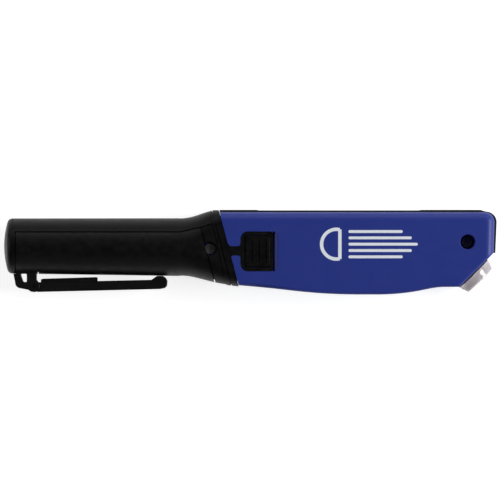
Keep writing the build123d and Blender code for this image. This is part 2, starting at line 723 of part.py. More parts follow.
with BuildPart() as head_shell_back:
    add(head_shell.part)
    for screw, boss_start_z in ((NECK_SCREW, NECK_WALL + WALL / 2), (NOSE_SCREW, WALL / 2)):
        add(upright(screw, BOSS_R, (boss_start_z, MID_Z)))
        add(upright(screw, SCREW_HOLE_R, (SCREW_HOLE_END_Z, MID_Z)), mode=Mode.SUBTRACT)
    split(bisect_by=Plane.XY.offset(MID_Z - SPLIT_GAP), keep=Keep.BOTTOM)


# ---- collar with the button's surround -------------------------------------------------

groove_start, groove_end, groove_depth = COLLAR_GROOVE

with BuildPart() as collar_ditch:
    add(handle_form(-2 * COLLAR_PROUD))
    add(handle_form(groove_depth - COLLAR_PROUD), mode=Mode.SUBTRACT)

with BuildPart() as collar_boot:
    add(between(collar_outer, band_plane.offset(SPLIT_GAP), head_plane.offset(-FIT)))
    add(between(collar_ditch.part, head_plane.offset(-groove_end), head_plane.offset(-groove_start)),
        mode=Mode.SUBTRACT)
    add(handle_form(NECK_WALL + FIT / 2), mode=Mode.SUBTRACT)
    extrude(
        bridge_outline(BRIDGE_FLOOR_Z + SPLIT_GAP, 0), amount=PAD_FACE_Z - BRIDGE_FLOOR_Z - SPLIT_GAP,
    )
    extrude(pad_outline(PAD_FLOOR_Z + SPLIT_GAP), amount=PAD_FACE_Z - PAD_FLOOR_Z - SPLIT_GAP)
    with BuildSketch(Plane.XY.offset(PAD_FLOOR_Z)):
        with Locations(hole_centre):
            RectangleRounded(*hole_size, PAD_RIGHT_R + FIT)
    extrude(amount=MID_Z, mode=Mode.SUBTRACT)


# ---- light frame, lens and LEDs --------------------------------------------------------

window_centre = (sum(WINDOW_X) / 2, MID_Z)

low_y = FRAME_Y - FRAME_STEP
corner_top = (NOSE_X - FRAME_CORNER_R, FRAME_CORNER_Y + FRAME_CORNER_R)
corner_front = (NOSE_X, FRAME_CORNER_Y)
raised_start = (
    (FRAME_START_X, low_y), (FRAME_START_X, FRAME_Y), (WINDOW_X[0], FRAME_Y),
    (WINDOW_X[0] + FRAME_RAMP, low_y),
)

with BuildPart() as light_frame:
    with BuildSketch(MIDDLE):
        with BuildLine():
            Line((FRAME_START_X, HEAD_Y), (CORNER_CENTRE[0], HEAD_Y))
            TangentArc((CORNER_CENTRE[0], HEAD_Y), nose_top, tangent=(1, 0))
            Polyline(nose_top, CHAMFER_TOP, (CHAMFER_TOP[0] + FRAME_FOOT_T, CHAMFER_TOP[1]))
            Line((CHAMFER_TOP[0] + FRAME_FOOT_T, CHAMFER_TOP[1]), corner_front)
            TangentArc(corner_front, corner_top, tangent=(0, 1))
            Polyline(
                corner_top, (FRAME_RAISED_END_X, FRAME_Y), (WINDOW_X[1], FRAME_Y),
                (WINDOW_X[1] - FRAME_RAMP, low_y), (FRAME_START_X, low_y), (FRAME_START_X, HEAD_Y),
            )
        make_face()
        with BuildLine():
            Polyline(*raised_start, close=True)
        make_face()
    extrude(amount=FRAME_HALF, both=True)
    add(side_block(
        (OPENING_X[0] + FIT, OPENING_X[1] - FIT), (HEAD_Y - SKIRT_DEPTH, HEAD_Y),
        (opening_z[0] + FIT, opening_z[1] - FIT),
    ))
    add(side_block(
        (OPENING_X[0] + SKIRT_T, OPENING_X[1] - SKIRT_T), (HEAD_Y - SKIRT_DEPTH, HEAD_Y),
        (opening_z[0] + SKIRT_T, opening_z[1] - SKIRT_T),
    ), mode=Mode.SUBTRACT)
    add(side_block(WINDOW_X, (HEAD_Y - WALL, FRAME_Y + WALL), window_z), mode=Mode.SUBTRACT)

tray_x = (WINDOW_X[0] - WALL, WINDOW_X[1] + WALL)
tray_z = (opening_z[0] + SKIRT_T + FIT, opening_z[1] - SKIRT_T - FIT)
lens_y = FRAME_Y - WINDOW_SUNK
flange_y = (HEAD_Y - LENS_FLANGE_T, HEAD_Y - FIT / 2)

with BuildPart() as flood_lens:
    add(side_block(tray_x, flange_y, tray_z))
    add(side_block(
        (WINDOW_X[0] + FIT, WINDOW_X[1] - FIT), (flange_y[1], lens_y),
        (window_z[0] + FIT, window_z[1] - FIT),
    ))

board_face = Plane(origin=(window_centre[0], FLOOD_BOARD_Y, MID_Z), x_dir=(1, 0, 0), z_dir=(0, 1, 0))
tray_top_y = flange_y[0] - FIT

with BuildPart() as flood_reflector:
    add(side_block(tray_x, (FLOOD_BOARD_Y + FIT, tray_top_y), tray_z))
    with BuildSketch(board_face.offset(tray_top_y - FLOOD_BOARD_Y)):
        with GridLocations(LED_PITCH, LED_ROW_PITCH, LED_COLUMNS, LED_ROWS):
            Circle(CUP_TOP_R)
    extrude(amount=FLOOD_BOARD_Y - tray_top_y, taper=CUP_TAPER, mode=Mode.SUBTRACT)

with BuildPart() as flood_board:
    add(side_block(
        (tray_x[0] - WALL, tray_x[1] + WALL), (FLOOD_BOARD_Y - BOARD_T, FLOOD_BOARD_Y),
        (MID_Z - BOARD_HALF, MID_Z + BOARD_HALF),
    ))

with BuildPart() as flood_leds:
    with BuildSketch(board_face):
        with GridLocations(LED_PITCH, LED_ROW_PITCH, LED_COLUMNS, LED_ROWS):
            Rectangle(LED_SIZE, LED_SIZE)
    extrude(amount=LED_HEIGHT)


# ---- spot light ------------------------------------------------------------------------

reflector_back = -WALL / 2 - REFLECTOR_DEPTH
spot_board_top = reflector_back - FIT

with BuildPart() as spot_gasket:
    add(spot_disc((0, GASKET_T), LENS_BASE_R + FIT, SPOT_HOLE_R))

with BuildPart() as spot_lens:
    with BuildSketch(spot_section):
        with BuildLine():
            lens_rise = LENS_CROWN_H - LENS_RIM_H
            crown_r = (LENS_RIM_R ** 2 + lens_rise ** 2) / (2 * lens_rise)
            crown_mid_h = LENS_CROWN_H - crown_r + (crown_r ** 2 - LENS_RIM_R ** 2 / 4) ** 0.5
            lens_inner_r = LENS_RIM_R - LENS_T
            Polyline(
                (0, LENS_RIM_H - LENS_T), (lens_inner_r, LENS_RIM_H - LENS_T),
                (SPOT_HOLE_R - FIT - LENS_T, GASKET_T + LENS_T),
                (SPOT_HOLE_R - FIT - LENS_T, -WALL / 2), (SPOT_HOLE_R - FIT, -WALL / 2),
                (SPOT_HOLE_R - FIT, GASKET_T), (LENS_BASE_R, GASKET_T),
                (LENS_BASE_R, GASKET_T + LENS_T), (LENS_RIM_R, LENS_RIM_H),
            )
            ThreePointArc(
                (LENS_RIM_R, LENS_RIM_H), (LENS_RIM_R / 2, crown_mid_h), (0, LENS_CROWN_H),
            )
            Line((0, LENS_CROWN_H), (0, LENS_RIM_H - LENS_T))
        make_face()
    revolve(axis=spot_axis)

with BuildPart() as spot_reflector:
    with BuildSketch(spot_section):
        with BuildLine():
            mouth = (SPOT_HOLE_R - FIT - LENS_T, -WALL / 2 - FIT)
            throat = (SPOT_THROAT_R, reflector_back)
            Spline(mouth, throat, tangents=[(-0.35, -1), (-1, -0.45)])
            Polyline(
                throat, (SPOT_THROAT_R + WALL / 2, reflector_back),
                (mouth[0] + WALL / 4, mouth[1] - WALL), (SPOT_HOLE_R - FIT, mouth[1] - WALL / 2),
                (SPOT_HOLE_R - FIT, mouth[1]), mouth,
            )
        make_face()
    revolve(axis=spot_axis)

with BuildPart() as spot_board:
    add(spot_disc((spot_board_top - BOARD_T, spot_board_top), SPOT_HOLE_R - WALL / 4))

with BuildPart() as spot_led:
    with BuildSketch(spot_plane.offset(spot_board_top)):
        Rectangle(SPOT_LED_SIZE, SPOT_LED_SIZE)
    extrude(amount=LED_HEIGHT)
    with BuildSketch(spot_section):
        with BuildLine():
            dome_y = spot_board_top + LED_HEIGHT
            Polyline((0, dome_y + SPOT_DOME_R), (0, dome_y), (SPOT_DOME_R, dome_y))
            CenterArc((0, dome_y), SPOT_DOME_R, 0, 90)
        make_face()
    revolve(axis=spot_axis)


# ---- button and electronics ------------------------------------------------------------

with BuildPart() as power_button:
    with BuildSketch(Plane.XY.offset(BUTTON_Z[0])):
        with Locations(hole_centre):
            RectangleRounded(
                hole_size[0] - 2 * BUTTON_CLEAR, hole_size[1] - 2 * BUTTON_CLEAR, PAD_RIGHT_R,
            )
    extrude(amount=BUTTON_Z[1] - BUTTON_Z[0])
    fillet(power_button.faces().sort_by(Axis.Z)[-1].edges(), BUTTON_EDGE_R)
    rib_width, rib_length, rib_height = RIB_SIZE
    with BuildSketch(Plane.XY.offset(BUTTON_Z[1] - FIT)):
        with Locations([(x, hole_centre[1]) for x in RIB_X]):
            SlotOverall(rib_length, rib_width, rotation=90)
    extrude(amount=rib_height + FIT)

with BuildPart() as button_plunger:
    with BuildSketch(Plane.XY.offset(BUTTON_Z[0] - PLATE_T)):
        with Locations(hole_centre):
            Rectangle(hole_size[0] - 2 * PAD_RIGHT_R, hole_size[1] - 2 * PAD_RIGHT_R)
    extrude(amount=PLATE_T)
    add(upright(hole_centre, PLUNGER_R, (PLUNGER_END_Z, BUTTON_Z[0])))

board_top_z = CONTROL_BOARD_Z + BOARD_T

with BuildPart() as control_board:
    add(side_block(CONTROL_BOARD_X, CONTROL_BOARD_Y, (CONTROL_BOARD_Z, board_top_z)))

with BuildPart() as tact_switch:
    switch_x = (hole_centre[0] - SWITCH_HALF, hole_centre[0] + SWITCH_HALF)
    switch_y = (hole_centre[1] - SWITCH_HALF, hole_centre[1] + SWITCH_HALF)
    add(side_block(switch_x, switch_y, (board_top_z, board_top_z + SWITCH_BODY_T)))
    add(upright(hole_centre, PLUNGER_R, (board_top_z, SWITCH_TOP_Z)))

with BuildPart() as driver_components:
    add(upright(*STORAGE_CAP[:2], (board_top_z, board_top_z + STORAGE_CAP[2])))
    add(side_block(*CHARGE_CHIP[:2], (board_top_z, board_top_z + CHARGE_CHIP[2])))
    add(upright(*INPUT_CAP[:2], (CONTROL_BOARD_Z - INPUT_CAP[2], CONTROL_BOARD_Z)))
    for block in (DRIVER_COIL, SHUNT):
        add(side_block(*block[:2], (CONTROL_BOARD_Z - block[2], CONTROL_BOARD_Z)))


def lead(*points, bend=LEAD_BEND):
    """Insulated lead along straight runs joined by tangent arcs."""
    with BuildPart() as wire:
        with BuildLine() as path:
            FilletPolyline(*points, radius=bend)
        with BuildSketch(Plane(origin=path.line @ 0, z_dir=path.line % 0)):
            Circle(LEAD_R)
        sweep(path=path.line)
    return wire.part


with BuildPart() as lead_positive:
    add(lead(
        (front_contact_x[1], AXIS_Y, MID_Z), (bulkhead_end_x + LEAD_BEND, AXIS_Y, MID_Z),
        (-28.0, 8.2, 11.6), (-15.5, 8.4, 10.6), (CELL_LEAD_X, 6.5, 12.6),
        (CELL_LEAD_X, 6.5, CONTROL_BOARD_Z),
    ))

with BuildPart() as lead_negative:
    strip_middle_y = (strip_y[0] + strip_y[1]) / 2
    add(lead(
        (STRIP_END_X, strip_middle_y, MID_Z), (-35.4, strip_middle_y - 0.1, MID_Z), (-27.0, 9.8, 16.2),
        (-14.0, 5.6, 15.2), (CELL_LEAD_X, 2.2, 13.4), (CELL_LEAD_X, 2.2, CONTROL_BOARD_Z),
    ))

with BuildPart() as flood_leads:
    for lead_z in (MID_Z - LEAD_PAIR + 0.5, MID_Z + LEAD_PAIR + 0.5):
        add(lead(
            (LIGHT_LEAD_X, 0.5 * lead_z, CONTROL_BOARD_Z), (LIGHT_LEAD_X, 0.5 * lead_z, lead_z - 1.0),
            (29.0, 10.0, lead_z), (29.0, FLOOD_BOARD_Y - BOARD_T, lead_z),
        ))

with BuildPart() as spot_leads:
    board_back = spot_board_top - BOARD_T
    for side in (-LEAD_PAIR, LEAD_PAIR):
        spot_end = spot_point + spot_out * board_back + Vector(0, 0, side)
        spot_near = spot_end - spot_out * 3.5
        add(lead(
            (LIGHT_LEAD_X, -6.4 + side, CONTROL_BOARD_Z), (LIGHT_LEAD_X, -6.4 + side, MID_Z),
            (45.0, -8.0 + side, 8.0), (72.0, -9.6 + side, 7.0),
            (94.0, -3.0 + side, 11.5), tuple(spot_near), tuple(spot_end),
        ))


# ---- screws ----------------------------------------------------------------------------

with BuildPart() as shell_screws:
    for point, seat_z in ((NECK_SCREW, NECK_SEAT_Z), (NOSE_SCREW, NOSE_SEAT_Z)):
        add(upright(point, SCREW_SHANK_R, (SCREW_TIP_Z, seat_z)))
        add(upright(point, SCREW_HEAD_R, (seat_z, seat_z + SCREW_HEAD_H)))
        with BuildSketch(Plane.XY.offset(seat_z + SCREW_HEAD_H)):
            with Locations(point):
                Rectangle(CROSS_LENGTH, CROSS_WIDTH)
                Rectangle(CROSS_WIDTH, CROSS_LENGTH)
        extrude(amount=-CROSS_DEPTH, mode=Mode.SUBTRACT)


# ---- pocket clip -----------------------------------------------------------------------

cheek_end_angle = 46
cheek_end = (
    PIN[0] + CHEEK_R * cos(radians(cheek_end_angle)), PIN[1] + CHEEK_R * sin(radians(cheek_end_angle)),
)
clip_z = (MID_Z - CLIP_HALF, MID_Z + CLIP_HALF)
slot_z = (MID_Z - SLOT_HALF, MID_Z + SLOT_HALF)
knuckle_z = (MID_Z - KNUCKLE_HALF, MID_Z + KNUCKLE_HALF)
spring_z = (MID_Z - SPRING_HALF, MID_Z + SPRING_HALF)
leg_step_y = LEG_TOP_Y - LEG_STEP
arm_start_x = PIN[0] + 0.9
cheek_front_x = PIN[0] + 1.25

with BuildPart() as bracket_foot:
    add(grip_recess.part)
    add(side_block(foot_x, (-2 * CAP_R, 0), foot_z), mode=Mode.INTERSECT)

with BuildPart() as clip_bracket:
    with BuildSketch(MIDDLE):
        with BuildLine():
            Line((-118.25, leg_step_y), (-117.35, -15.2))
            ThreePointArc((-117.35, -15.2), (-116.65, -17.1), (-115.0, -18.0))
            Polyline(
                (-115.0, -18.0), (-111.0, -18.75), (-109.4, -19.7), (PIN[0], PIN[1] - CHEEK_R),
            )
            CenterArc(PIN, CHEEK_R, -90, 90 + cheek_end_angle)
            Polyline(
                cheek_end, (cheek_front_x, -13.8), (cheek_front_x, LEG_TOP_Y), (foot_x[0], LEG_TOP_Y),
                (foot_x[0], leg_step_y), (-118.25, leg_step_y),
            )
        make_face()
    extrude(amount=CLIP_HALF, both=True)
    fillet(clip_bracket.faces().filter_by(Plane.XY).edges(), CLIP_EDGE_R)
    window_face = side_face(
        (-114.75, leg_step_y), (-113.3, -14.9), (-111.55, -14.9), (-111.55, leg_step_y),
        rounding=2 * CLIP_EDGE_R,
    )
    extrude(window_face, amount=CLIP_HALF, both=True, mode=Mode.SUBTRACT)
    add(upright(PIN, CHEEK_R, slot_z), mode=Mode.SUBTRACT)
    add(side_block((PIN[0], -100.0), (PIN[1] - 2 * CHEEK_R, PIN[1] + CHEEK_R), slot_z), mode=Mode.SUBTRACT)
    add(upright(PIN, PIN_R, clip_z), mode=Mode.SUBTRACT)
    add(bracket_foot.part)

with BuildPart() as clip_pin:
    add(upright(PIN, PIN_R, (clip_z[0] + FIT, clip_z[1] - FIT)))

# The arm: a bar that ends in a tooth, and a flange along its inner side.
arm_bar = side_face(
    (arm_start_x, -19.9), (-75.0, -19.15), (-45.0, -18.4), (-42.6, -17.95), (-41.5, -16.8),
    (-41.3, -14.4), (-41.9, -13.1), (-43.5, -11.87), (-46.6, -11.87), (-49.3, -13.8),
    (-76.3, -14.4), (-76.3, FLANGE_Y), (arm_start_x, FLANGE_Y - 0.2),
)
arm_flange = side_face(
    (-104.5, FLANGE_Y - WALL / 2), (-104.5, -13.6), (-103.5, -13.25), (-77.0, -12.45),
    (-76.3, -12.7), (-76.3, FLANGE_Y - WALL / 2),
)
arm_channel = side_face((-101.5, -9.0), (-53.0, -9.0), (-53.0, -16.6), (-101.5, -17.6))
knuckle_web = side_face(
    (PIN[0], PIN[1] - KNUCKLE_R), (-103.5, PIN[1] - KNUCKLE_R),
    (-103.5, PIN[1] + KNUCKLE_R - 0.5), (PIN[0] + 1.0, PIN[1] + KNUCKLE_R - 0.5),
)

with BuildPart() as clip_arm:
    extrude(arm_bar, amount=CLIP_HALF, both=True)
    fillet(clip_arm.faces().filter_by(Plane.XY).edges(), CLIP_EDGE_R)
    extrude(arm_flange, amount=CLIP_HALF - ARM_STEP, both=True)
    add(upright(PIN, CHEEK_R + BUTTON_CLEAR, (0, 2 * MID_Z)), mode=Mode.SUBTRACT)
    extrude(arm_channel, amount=CHANNEL_HALF, both=True, mode=Mode.SUBTRACT)
    add(upright(PIN, KNUCKLE_R, knuckle_z))
    extrude(knuckle_web, amount=KNUCKLE_HALF, both=True)
    add(upright(PIN, PIN_R + RUNNING_FIT, clip_z), mode=Mode.SUBTRACT)
    add(upright(PIN, KNUCKLE_R + BUTTON_CLEAR, spring_z), mode=Mode.SUBTRACT)

with BuildPart() as clip_spring:
    coil_z = MID_Z - SPRING_HALF + CLIP_WIRE_R + FIT
    coil_height = 2 * (MID_Z - coil_z)
    with BuildLine() as turns:
        Helix(
            pitch=coil_height / CLIP_TURNS, height=coil_height, radius=CLIP_COIL_R,
            center=(PIN[0], PIN[1], coil_z), direction=(0, 0, 1),
        )
    with BuildSketch(Plane(origin=turns.line @ 0, z_dir=turns.line % 0)):
        Circle(CLIP_WIRE_R)
    sweep(path=turns.line, is_frenet=True)


# ---- files -----------------------------------------------------------------------------

pieces = dict(
    head_shell_front=head_shell_front, head_shell_back=head_shell_back, handle_tube=handle_tube,
    grip_sleeve=grip_sleeve, collar_boot=collar_boot, light_frame=light_frame,
    flood_lens=flood_lens, flood_reflector=flood_reflector, flood_board=flood_board,
    flood_leds=flood_leds, spot_gasket=spot_gasket, spot_lens=spot_lens,
    spot_reflector=spot_reflector, spot_board=spot_board, spot_led=spot_led,
    control_board=control_board, tact_switch=tact_switch, driver_components=driver_components,
    shell_screws=shell_screws, battery_cell=battery_cell, front_contact=front_contact,
    contact_insulator=contact_insulator, ground_strip=ground_strip,
    lead_positive=lead_positive, lead_negative=lead_negative, flood_leads=flood_leads,
    spot_leads=spot_leads, clip_bracket=clip_bracket, clip_pin=clip_pin,
    clip_spring=clip_spring, clip_arm=clip_arm, power_button=power_button,
    button_plunger=button_plunger, tail_oring=tail_oring, tail_cap=tail_cap,
    tail_contact=tail_contact, tail_spring=tail_spring,
)
os.makedirs("parts", exist_ok=True)
for name, piece in pieces.items():
    piece.part.label = name
    export_step(piece.part, f"parts/{name}.step")
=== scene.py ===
"""LED inspection light: looks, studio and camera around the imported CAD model. Blender 4.5, metres."""

import json

import bpy
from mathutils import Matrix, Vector

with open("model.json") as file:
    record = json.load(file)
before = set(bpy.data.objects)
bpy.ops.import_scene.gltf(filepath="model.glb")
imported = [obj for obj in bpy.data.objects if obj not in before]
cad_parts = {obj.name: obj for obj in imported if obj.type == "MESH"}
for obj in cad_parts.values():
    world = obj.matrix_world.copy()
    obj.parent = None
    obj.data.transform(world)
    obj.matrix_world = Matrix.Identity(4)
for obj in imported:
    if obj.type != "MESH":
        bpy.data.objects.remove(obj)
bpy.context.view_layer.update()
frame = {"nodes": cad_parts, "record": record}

MM = 0.001

# Sockets of the Mix node when it mixes colours
MIX_A, MIX_B, MIX_RESULT = 6, 7, 2


# ---- node helpers ----------------------------------------------------------------------

class Shader:
    """A material being built: its Principled shader and short calls that add nodes."""

    def __init__(self, name):
        self.material = bpy.data.materials.new(name)
        self.material.use_nodes = True
        self.tree = self.material.node_tree
        self.surface = self.tree.nodes["Principled BSDF"]
        self.place = self.node("ShaderNodeTexCoord").outputs["Object"]

    def node(self, kind, **settings):
        made = self.tree.nodes.new(kind)
        for key, value in settings.items():
            setattr(made, key, value)
        return made

    def link(self, source, target):
        self.tree.links.new(source, target)

    def set(self, **values):
        """Sets the shader's own sockets: base_color becomes Base Color."""
        for key, value in values.items():
            name = key.replace("_", " ").title().replace("Ior", "IOR")
            self.surface.inputs[name].default_value = value
        return self

    def noise(self, size_mm, detail=3.0, roughness=0.5, stretch=(1, 1, 1)):
        """Noise whose features are about size_mm across, finer along a stretched axis."""
        scaled = self.node("ShaderNodeMapping")
        scaled.inputs["Scale"].default_value = stretch
        self.link(self.place, scaled.inputs["Vector"])
        texture = self.node("ShaderNodeTexNoise")
        texture.inputs["Scale"].default_value = 1 / (size_mm * MM)
        texture.inputs["Detail"].default_value = detail
        texture.inputs["Roughness"].default_value = roughness
        self.link(scaled.outputs["Vector"], texture.inputs["Vector"])
        return texture.outputs["Fac"]

    def cells(self, size_mm):
        """Distance to the nearest point of a pebbled pattern."""
        texture = self.node("ShaderNodeTexVoronoi")
        texture.inputs["Scale"].default_value = 1 / (size_mm * MM)
        self.link(self.place, texture.inputs["Vector"])
        return texture.outputs["Distance"]

    def ranged(self, value, low, high, start=0.3, end=0.7):
        """Maps start..end of a value onto low..high."""
        mapped = self.node("ShaderNodeMapRange")
        mapped.inputs["From Min"].default_value = start
        mapped.inputs["From Max"].default_value = end
        mapped.inputs["To Min"].default_value = low
        mapped.inputs["To Max"].default_value = high
        self.link(value, mapped.inputs["Value"])
        return mapped.outputs["Result"]

    def math(self, operation, first, second=None, third=None):
        """Math node; each term is a number or another node's output."""
        made = self.node("ShaderNodeMath", operation=operation)
        for slot, value in enumerate((first, second, third)):
            if value is None:
                continue
            if isinstance(value, (int, float)):
                made.inputs[slot].default_value = value
            else:
                self.link(value, made.inputs[slot])
        return made.outputs["Value"]

    def mixed(self, factor, first, second):
        """Colour mix; each side is a colour or another node's output."""
        made = self.node("ShaderNodeMix", data_type="RGBA")
        self.link(factor, made.inputs["Factor"])
        for slot, value in ((MIX_A, first), (MIX_B, second)):
            if isinstance(value, tuple):
                made.inputs[slot].default_value = (*value, 1)
            else:
                self.link(value, made.inputs[slot])
        return made.outputs[MIX_RESULT]

    def slab(self, centre, half, corner):
        """Signed distance in mm, seen from above, to a rounded rectangle."""
        folded = self.node("ShaderNodeVectorMath", operation="ABSOLUTE")
        self.link(self.away_from(centre), folded.inputs[0])
        beyond = self.node("ShaderNodeVectorMath", operation="SUBTRACT")
        self.link(folded.outputs[0], beyond.inputs[0])
        beyond.inputs[1].default_value = (half[0] - corner, half[1] - corner, 0)
        outside = self.node("ShaderNodeVectorMath", operation="MAXIMUM")
        self.link(beyond.outputs[0], outside.inputs[0])
        return self.math("SUBTRACT", self.size(outside.outputs[0]), corner)

    def disc(self, centre, radius):
        """Signed distance in mm, seen from above, to a disc."""
        return self.math("SUBTRACT", self.size(self.away_from(centre)), radius)

    def away_from(self, point):
        """Vector in mm, seen from above, from a point to the place being shaded."""
        made = self.node("ShaderNodeVectorMath", operation="SUBTRACT")
        self.link(self.flat_mm(), made.inputs[0])
        made.inputs[1].default_value = (*point, 0)
        return made.outputs[0]

    def size(self, vector):
        """Length of a vector."""
        made = self.node("ShaderNodeVectorMath", operation="LENGTH")
        self.link(vector, made.inputs[0])
        return made.outputs["Value"]

    def axes(self):
        """Object coordinates in metres, one output per axis."""
        made = self.node("ShaderNodeSeparateXYZ")
        self.link(self.place, made.inputs["Vector"])
        return made.outputs

    def flat_mm(self):
        """Object coordinates in mm with the height left out."""
        made = self.node("ShaderNodeVectorMath", operation="MULTIPLY")
        self.link(self.place, made.inputs[0])
        made.inputs[1].default_value = (1 / MM, 1 / MM, 0)
        return made.outputs[0]

    def colour(self, source):
        self.link(source, self.surface.inputs["Base Color"])

    def roughness(self, source):
        self.link(source, self.surface.inputs["Roughness"])

    def bump(self, *layers):
        """Stacks (height, distance in mm) layers into the surface normal."""
        normal = None
        for height, distance_mm in layers:
            made = self.node("ShaderNodeBump")
            made.inputs["Distance"].default_value = distance_mm * MM
            self.link(height, made.inputs["Height"])
            if normal is not None:
                self.link(normal, made.inputs["Normal"])
            normal = made.outputs["Normal"]
        self.link(normal, self.surface.inputs["Normal"])


# ---- materials -------------------------------------------------------------------------

SHELL_ROUGH, SHELL_GLOSS = 0.42, 0.3
RUBBER_ROUGH, RUBBER_GLOSS = 0.43, 0.2
BLUE = (0.024, 0.043, 0.27)
BLUE_DEEP = (0.021, 0.038, 0.25)
BLACK = (0.0042, 0.0042, 0.0044)
BLACK_DEEP = (0.0028, 0.0028, 0.003)
INK = (0.88, 0.93, 1.0)

# Printed symbol on the front, in mm: a lamp with its flat side to the nose, and its beam
LAMP_CENTRE = (43.0, 4.0)
LAMP_R = 7.4
LAMP_LINE = 1.7
BEAM_START_X = 49.0
BEAM_ENDS_X = (76.0, 80.5, 83.5, 80.5, 76.0)
BEAM_PITCH = 3.15
BEAM_HALF = 0.7
INK_EDGE = 0.09            # half of the soft edge of the ink
INK_RAGGED = 0.1           # how far the edge wanders
INK_MIN_Z = 27.5           # the print stays on the flat face above this height


def moulded_plastic(name, light, dark, rough, gloss=0.5, grain_mm=0.3):
    """Injection-moulded plastic: spark-eroded grain, faint flow variation and handling marks."""
    s = Shader(name)
    s.set(specular_ior_level=gloss)
    s.colour(s.mixed(s.noise(38, 2), dark, light))
    smears = s.noise(9, 4, 0.6, (1, 2.2, 1))
    s.roughness(s.ranged(smears, rough - 0.04, rough + 0.07))
    s.bump((s.noise(grain_mm, 2), 0.012), (s.cells(0.7), 0.004))
    return s


def soft_rubber(name, base, rough):
    """Moulded rubber: fine pebble, dull, with dustier patches."""
    s = Shader(name)
    s.set(specular_ior_level=RUBBER_GLOSS)
    dusty = tuple(1.6 * c + 0.0006 for c in base)
    s.colour(s.mixed(s.ranged(s.noise(6, 5, 0.65), 0, 1, 0.45, 0.8), base, dusty))
    s.roughness(s.ranged(s.noise(3.5, 3), rough - 0.06, rough + 0.1))
    s.bump((s.cells(0.45), 0.03), (s.noise(0.16, 2), 0.012))
    return s


def clear_plastic(name, rough, tint):
    s = Shader(name)
    s.set(base_color=(*tint, 1), ior=1.49, transmission_weight=1.0)
    s.roughness(s.ranged(s.noise(7, 4), rough, rough + 0.05))
    return s


def metal(name, base, rough, brushed=(1, 1, 1), grain_mm=0.6):
    s = Shader(name)
    s.set(metallic=1.0)
    s.colour(s.mixed(s.noise(3, 3), tuple(0.82 * c for c in base), base))
    s.roughness(s.ranged(s.noise(grain_mm, 3, 0.6, brushed), rough - 0.06, rough + 0.1))
    s.bump((s.noise(grain_mm / 2, 2, 0.5, brushed), 0.006))
    return s


def plain_part(name, base, rough):
    """Small inner part: slight colour and gloss variation."""
    s = Shader(name)
    s.colour(s.mixed(s.noise(2.5, 3), tuple(0.78 * c for c in base), base))
    s.roughness(s.ranged(s.noise(1.2, 3), rough - 0.05, rough + 0.1))
    s.bump((s.noise(0.3, 2), 0.008))
    return s


def printed_blue():
    """The front shell's blue plastic with the lamp symbol printed on its face in pale ink."""
    s = moulded_plastic("shell_front_blue", BLUE, BLUE_DEEP, SHELL_ROUGH, SHELL_GLOSS)
    plastic = s.surface.inputs["Base Color"].links[0].from_socket
    x, y, z = s.axes()
    rim = s.math("ABSOLUTE", s.disc(LAMP_CENTRE, LAMP_R))
    left_half = s.math("SUBTRACT", s.math("MULTIPLY", x, 1 / MM), LAMP_CENTRE[0] + LAMP_LINE)
    shape = s.math("MAXIMUM", s.math("SUBTRACT", rim, LAMP_LINE / 2), left_half)
    face = (LAMP_CENTRE[0] + LAMP_LINE, LAMP_CENTRE[1])
    shape = s.math("MINIMUM", shape, s.slab(face, (LAMP_LINE / 2, LAMP_R), 0.3))
    for row, end_x in enumerate(BEAM_ENDS_X):
        middle = ((BEAM_START_X + end_x) / 2, LAMP_CENTRE[1] + (row - 2) * BEAM_PITCH)
        bar = s.slab(middle, ((end_x - BEAM_START_X) / 2, BEAM_HALF), BEAM_HALF)
        shape = s.math("MINIMUM", shape, bar)
    ragged = s.math("MULTIPLY_ADD", s.noise(0.35, 2), INK_RAGGED, -INK_RAGGED / 2)
    shape = s.math("ADD", shape, ragged)
    ink = s.ranged(shape, 1, 0, -INK_EDGE, INK_EDGE)
    on_face = s.math("GREATER_THAN", z, INK_MIN_Z * MM)
    ink = s.math("MULTIPLY", ink, on_face)
    cover = s.ranged(s.noise(0.6, 4, 0.7), 0.93, 1, 0.25, 0.5)
    s.colour(s.mixed(s.math("MULTIPLY", ink, cover), plastic, INK))
    return s


def frosted_dome():
    """Spot light cover: clear moulding with a milky cast; its faint pink tint is a painted reflection
    of the LED.
    """
    s = Shader("spot_clear")
    s.set(ior=1.49, transmission_weight=0.6)
    # the pink in these two colours is a painted reflection of the LED
    s.colour(s.mixed(s.noise(4, 3), (0.93, 0.85, 0.87), (0.98, 0.94, 0.95)))
    s.roughness(s.ranged(s.noise(3, 4), 0.05, 0.16))
    s.bump((s.noise(2.2, 2), 0.05))
    return s


